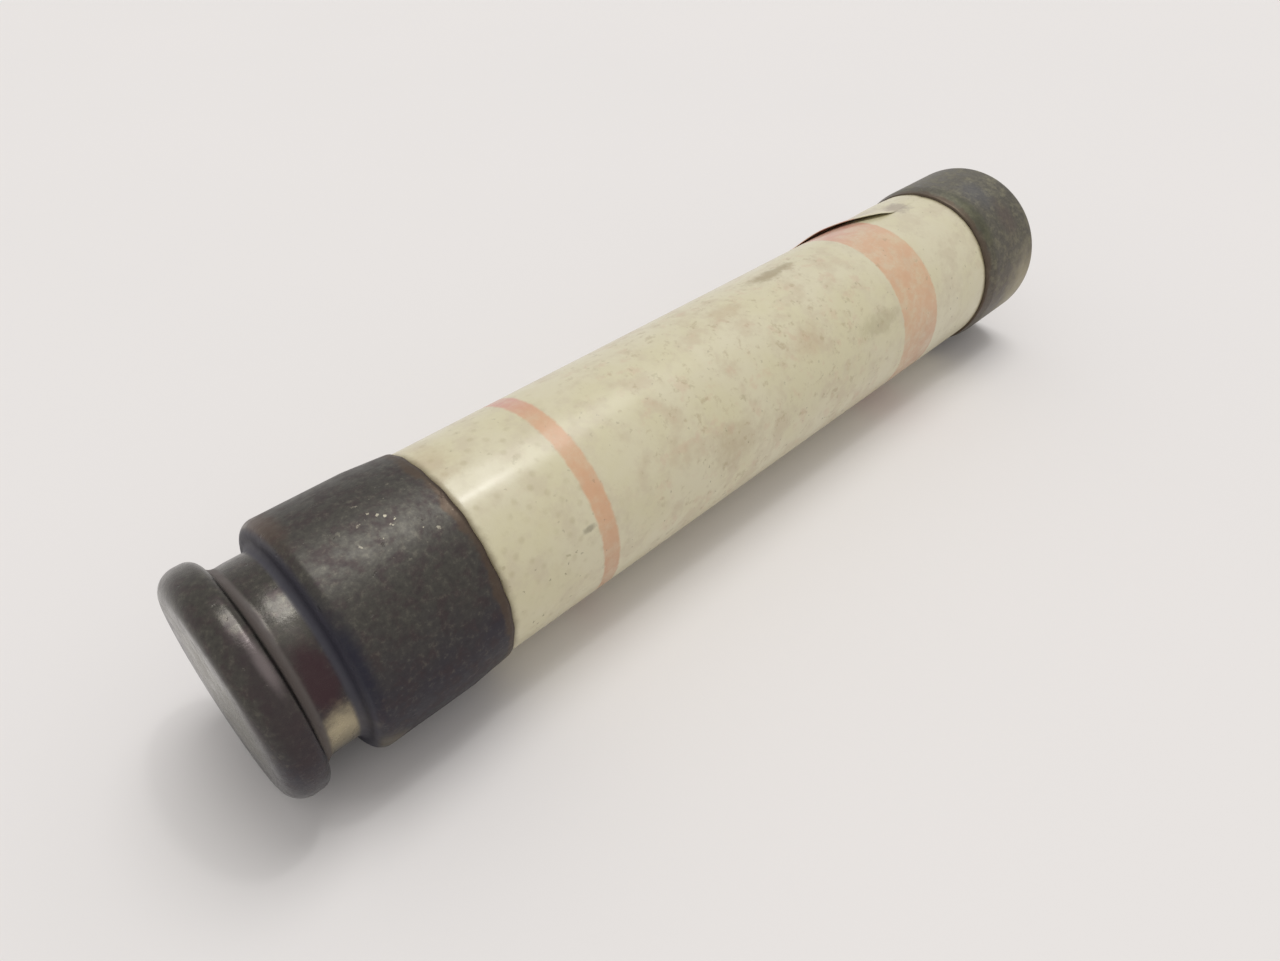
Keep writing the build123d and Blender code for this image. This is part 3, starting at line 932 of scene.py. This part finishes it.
def label_paper():
    """Aged paper with its print, stains, flecks and dirt, all under a worn varnish."""
    material, graph, shader, place = new_material("label paper", coat=VARNISH)
    shader["Coat Roughness"].default_value = VARNISH_ROUGHNESS
    parts = graph.parts(place)
    along, up = parts["X"], parts["Z"]
    colour, fine = aged_paper(graph, place, along)
    colour = dot_screen(graph, along, fine, colour)
    colour = worn_bands(graph, place, parts["Y"], up, colour)
    colour = add_stains(graph, place, colour)
    colour = add_flecks(graph, place, up, colour)
    graph.put(shader["Base Color"], add_edge_dirt(graph, place, along, colour))
    graph.put(shader["Roughness"], graph.ease(fine, 0.3, 0.7, 0.42, 0.58))
    ripple = graph.math("MULTIPLY", graph.noise(place, 240.0, 2.0), 2.0)
    tooth = graph.math("MULTIPLY", graph.noise(place, 1800.0, 3.0), 0.7)
    add_bump(graph, shader, graph.math("ADD", ripple, tooth), PAPER_BUMP)
    return material


paper_label = label_piece(label_paper())
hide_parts("label")

# %% [markdown]
# ## Finishes inside the tube
# The pieces inside were sheltered, so they are cleaner: drawn brass and copper, satin solder,
# brown fibre board and pale quartz sand. Their working shapes are good enough as they are, so
# each one only gets a finish, made from the same patchy colour with its own grain.

# %% Plain metal and board finishes
def clean_metal(name, main, second, third, roughness, scale=220.0):
    """Sheltered metal inside the tube: even colour, fine drawn grain and a satin sheen."""
    material, graph, shader, place = new_material(name, metallic=1.0)
    patches = graph.use(patchy_colour, Vector=place, Scale=scale, Main=main, Second=second,
                        Third=third, Third_Share=0.5)
    graph.put(shader["Base Color"], patches["Color"])
    rough = graph.ease(patches["Fine"], 0.3, 0.7, roughness, roughness + 0.12)
    graph.put(shader["Roughness"], rough)
    grained = graph.add("ShaderNodeMapping", Vector=place, Scale=(0.15, 1.0, 1.0)).outputs[0]
    add_bump(graph, shader, graph.noise(grained, 6000.0, 3.0), 0.006 * MM)
    return material


def fibre_board(name, main, second, third, fibre_scale):
    """Pressed or wound paper fibre: matt, with short fibres that lie round the tube."""
    material, graph, shader, place = new_material(name, specular=0.3)
    stretched = graph.add("ShaderNodeMapping", Vector=place, Scale=(2.5, 1.0, 1.0)).outputs[0]
    patches = graph.use(patchy_colour, Vector=stretched, Scale=fibre_scale, Main=main,
                        Second=second, Third=third, Third_Share=0.6)
    graph.put(shader["Base Color"], patches["Color"])
    graph.put(shader["Roughness"], graph.ease(patches["Wide"], 0.3, 0.7, 0.62, 0.80))
    add_bump(graph, shader, graph.noise(stretched, fibre_scale * 6, 4.0), 0.02 * MM)
    return material


def packed_sand():
    """Quartz grains of a few tenths of a millimetre, each a slightly different warm grey."""
    material, graph, shader, place = new_material("packed sand", specular=0.4)
    grains = graph.add("ShaderNodeTexVoronoi", Vector=place, Scale=3200.0)
    draw = graph.add("ShaderNodeSeparateColor", Color=grains.outputs["Color"]).outputs["Red"]
    graph.put(shader["Base Color"], graph.blend(draw, srgb(214, 202, 180), srgb(168, 152, 126)))
    graph.put(shader["Roughness"], graph.ease(draw, 0.0, 1.0, 0.55, 0.85))
    add_bump(graph, shader, graph.math("SUBTRACT", 1.0, grains.outputs["Distance"]), 0.1 * MM)
    return material


# %% Finishes on the working shapes
FINISHES = {
    "clean_brass": clean_metal(
        "clean brass", srgb(200, 166, 98), srgb(188, 150, 84), srgb(164, 128, 76), 0.26),
    "link_copper": clean_metal(
        "link copper", srgb(206, 134, 100), srgb(190, 116, 84), srgb(150, 92, 70), 0.28),
    "solder": clean_metal(
        "solder", srgb(172, 173, 172), srgb(154, 156, 158), srgb(134, 134, 138), 0.38, 500.0),
    "spring_steel": clean_metal(
        "spring steel", srgb(158, 160, 164), srgb(140, 142, 148), srgb(112, 106, 102), 0.22),
    "tube_fibre": fibre_board(
        "tube fibre", srgb(146, 122, 84), srgb(126, 102, 68), srgb(104, 84, 58), 260.0),
    "board_fibre": fibre_board(
        "fibre board", srgb(112, 98, 84), srgb(96, 84, 74), srgb(132, 116, 98), 340.0),
    "quartz_sand": packed_sand(),
}
replaced = {"rejection_ferrule", "plain_ferrule", "label", "trigger_spring"}
for part in frame["record"]["subparts"]:
    if part["node"] not in replaced:
        node_mesh = nodes[part["node"]].data
        node_mesh.materials.clear()
        node_mesh.materials.append(FINISHES[part["material_slot"]])
print("finished CAD nodes", len(nodes) - len(replaced))

# %% [markdown]
# ## The trigger's spring
# The overload trigger's spring is held short inside the sleeve. When the alloy lets go, it
# pushes the plunger away and grows longer. Here it is a wire circle carried along a helix,
# with flat closed turns at its two ends.

# %% Trigger spring
SPRING_WIRE = 0.7 * MM
SPRING_TURNS = 5
END_TURNS = 0.75
STEPS_PER_TURN = 48
WIRE_SIDES = 16


def spring_piece(material):
    """A wire circle carried along a helix whose pitch eases to nothing over its end turns."""
    low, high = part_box("trigger_spring")
    wire = SPRING_WIRE / 2
    coil_radius = high.z - wire
    start, end = low.x + wire, high.x - wire
    along = np.linspace(0, 1, SPRING_TURNS * STEPS_PER_TURN + 1)
    turn = along * SPRING_TURNS * 2 * math.pi
    flat = END_TURNS / SPRING_TURNS
    climb = smooth_step(0, flat, along) * smooth_step(1, 1 - flat, along)
    rise = np.concatenate([[0], np.cumsum((climb[1:] + climb[:-1]) / 2)])
    x = start + (end - start) * rise / rise[-1]
    centre = np.stack([x, coil_radius * np.cos(turn), coil_radius * np.sin(turn)], axis=-1)
    outward = np.stack([np.zeros_like(turn), np.cos(turn), np.sin(turn)], axis=-1)
    ahead = np.gradient(centre, axis=0)
    ahead /= np.linalg.norm(ahead, axis=1, keepdims=True)
    across = np.cross(ahead, outward)
    ring = np.arange(WIRE_SIDES) * 2 * math.pi / WIRE_SIDES
    tube = (
        centre[:, None]
        + wire * np.cos(ring)[None, :, None] * outward[:, None]
        + wire * np.sin(ring)[None, :, None] * across[:, None]
    )
    faces = grid_quads(len(centre), WIRE_SIDES, closed_columns=True).tolist()
    first_cap = list(range(WIRE_SIDES))
    last_cap = [corner + (len(centre) - 1) * WIRE_SIDES for corner in first_cap]
    faces += [first_cap[::-1], last_cap]
    piece = mesh_object("coil_spring", tube.reshape(-1, 3), faces, material)
    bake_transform(piece)
    return piece


coil_spring = spring_piece(FINISHES["spring_steel"])
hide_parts("trigger_spring")

# %% [markdown]
# ## The table
# The fuse lies on a plain pale table. A wide flat disc with hardly any cloudiness is enough, and
# it is so wide that its edge is never seen as a line near the fuse.

# %% Floor
FLOOR_RADIUS = 3.0
FLOOR_CORNERS = 96
FLOOR_COLOUR = srgb(233, 230, 228)


def pale_floor():
    """A wide disc at the fuse's lowest point, matt and almost white."""
    material, graph, shader, place = new_material("pale floor", specular=0.2)
    cloudy = graph.noise(place, 9.0, 2.0)
    graph.put(shader["Base Color"], graph.blend(cloudy, FLOOR_COLOUR, srgb(236, 232, 230)))
    graph.put(shader["Roughness"], 0.75)
    turn = np.linspace(0, 2 * math.pi, FLOOR_CORNERS, endpoint=False)
    level = np.full(FLOOR_CORNERS, cad_box[0].z)
    points = np.stack([FLOOR_RADIUS * np.cos(turn), FLOOR_RADIUS * np.sin(turn), level], axis=-1)
    mesh_object("floor", points, [list(range(FLOOR_CORNERS))], material)


pale_floor()

# %% [markdown]
# ## Light
# The light is soft and comes from almost overhead, a little from the plain end, so the shadow
# stays under the fuse and slips out beyond the flange. A wide lamp and a small one, both as far
# away as the sun, light the whole table evenly. The bright room itself comes from the world,
# which shows the table's colour wherever it is seen directly or in a reflection.

# %% Lamps and room light
LAMPS = {
    # name: (direction it shines from, how wide it looks in degrees, strength)
    "soft ceiling lamp": ((0.30, 0.08, 0.95), 34, 1.07),
    "bare bulb": ((0.37, -0.05, 0.93), 4.2, 0.17),
}
ROOM_STRENGTH = 0.60


def soft_light():
    """A wide far lamp overhead, a small one for the glint, and an even world."""
    for name, (direction, width, strength) in LAMPS.items():
        data = bpy.data.lights.new(name, "SUN")
        data.angle = math.radians(width)
        data.energy = strength
        lamp = bpy.data.objects.new(name, data)
        bpy.context.scene.collection.objects.link(lamp)
        lamp.rotation_mode = "QUATERNION"
        lamp.rotation_quaternion = (-Vector(direction)).to_track_quat("-Z", "Y")
        print("lamp", name)

    world = bpy.data.worlds.new("bright room")
    bpy.context.scene.world = world
    world.use_nodes = True
    graph = Graph(world.node_tree)
    rays = graph.add("ShaderNodeLightPath").outputs
    seen = graph.math("MAXIMUM", rays["Is Camera Ray"], rays["Is Glossy Ray"])
    seen = graph.math("MAXIMUM", seen, rays["Is Transmission Ray"])
    room = graph.add("ShaderNodeBackground", Color=(1.0, 0.99, 0.98, 1.0), Strength=ROOM_STRENGTH)
    backdrop = graph.add("ShaderNodeBackground", Color=FLOOR_COLOUR, Strength=1.0)
    chosen = graph.add("ShaderNodeMixShader")
    graph.put(chosen.inputs[0], seen)
    graph.put(chosen.inputs[1], room.outputs[0])
    graph.put(chosen.inputs[2], backdrop.outputs[0])
    graph.add("ShaderNodeOutputWorld", Surface=chosen.outputs[0])


soft_light()
bpy.context.scene.view_settings.view_transform = "Standard"

# %% [markdown]
# ## Camera
# A wide lens held close makes the near end look large and the far end small, as when a small
# object is picked out on a table. The camera is placed by its angles and distance from a point
# beside the fuse's rejection half, at the height of its axis.

# %% Camera
CAMERA_AZIMUTH = math.radians(-44.85)
CAMERA_ELEVATION = math.radians(40.56)
CAMERA_DISTANCE = 106.2 * MM
CAMERA_TARGET = Vector((-19.07, -6.06, 0.0)) * MM
CAMERA_LENS = 24.17


def close_camera():
    """A wide lens close to the fuse, looking along it from above the rejection end."""
    data = bpy.data.cameras.new("camera")
    data.lens = CAMERA_LENS
    data.sensor_width = 36.0
    data.clip_start = 0.005
    camera = bpy.data.objects.new("camera", data)
    bpy.context.scene.collection.objects.link(camera)
    level = math.cos(CAMERA_ELEVATION)
    back = Vector((
        math.sin(CAMERA_AZIMUTH) * level,
        -math.cos(CAMERA_AZIMUTH) * level,
        math.sin(CAMERA_ELEVATION),
    ))
    camera.location = CAMERA_TARGET + back * CAMERA_DISTANCE
    camera.rotation_mode = "QUATERNION"
    camera.rotation_quaternion = (-back).to_track_quat("-Z", "Y")
    bpy.context.scene.camera = camera


close_camera()
print("camera", [round(value / MM, 1) for value in bpy.context.scene.camera.location], "mm")
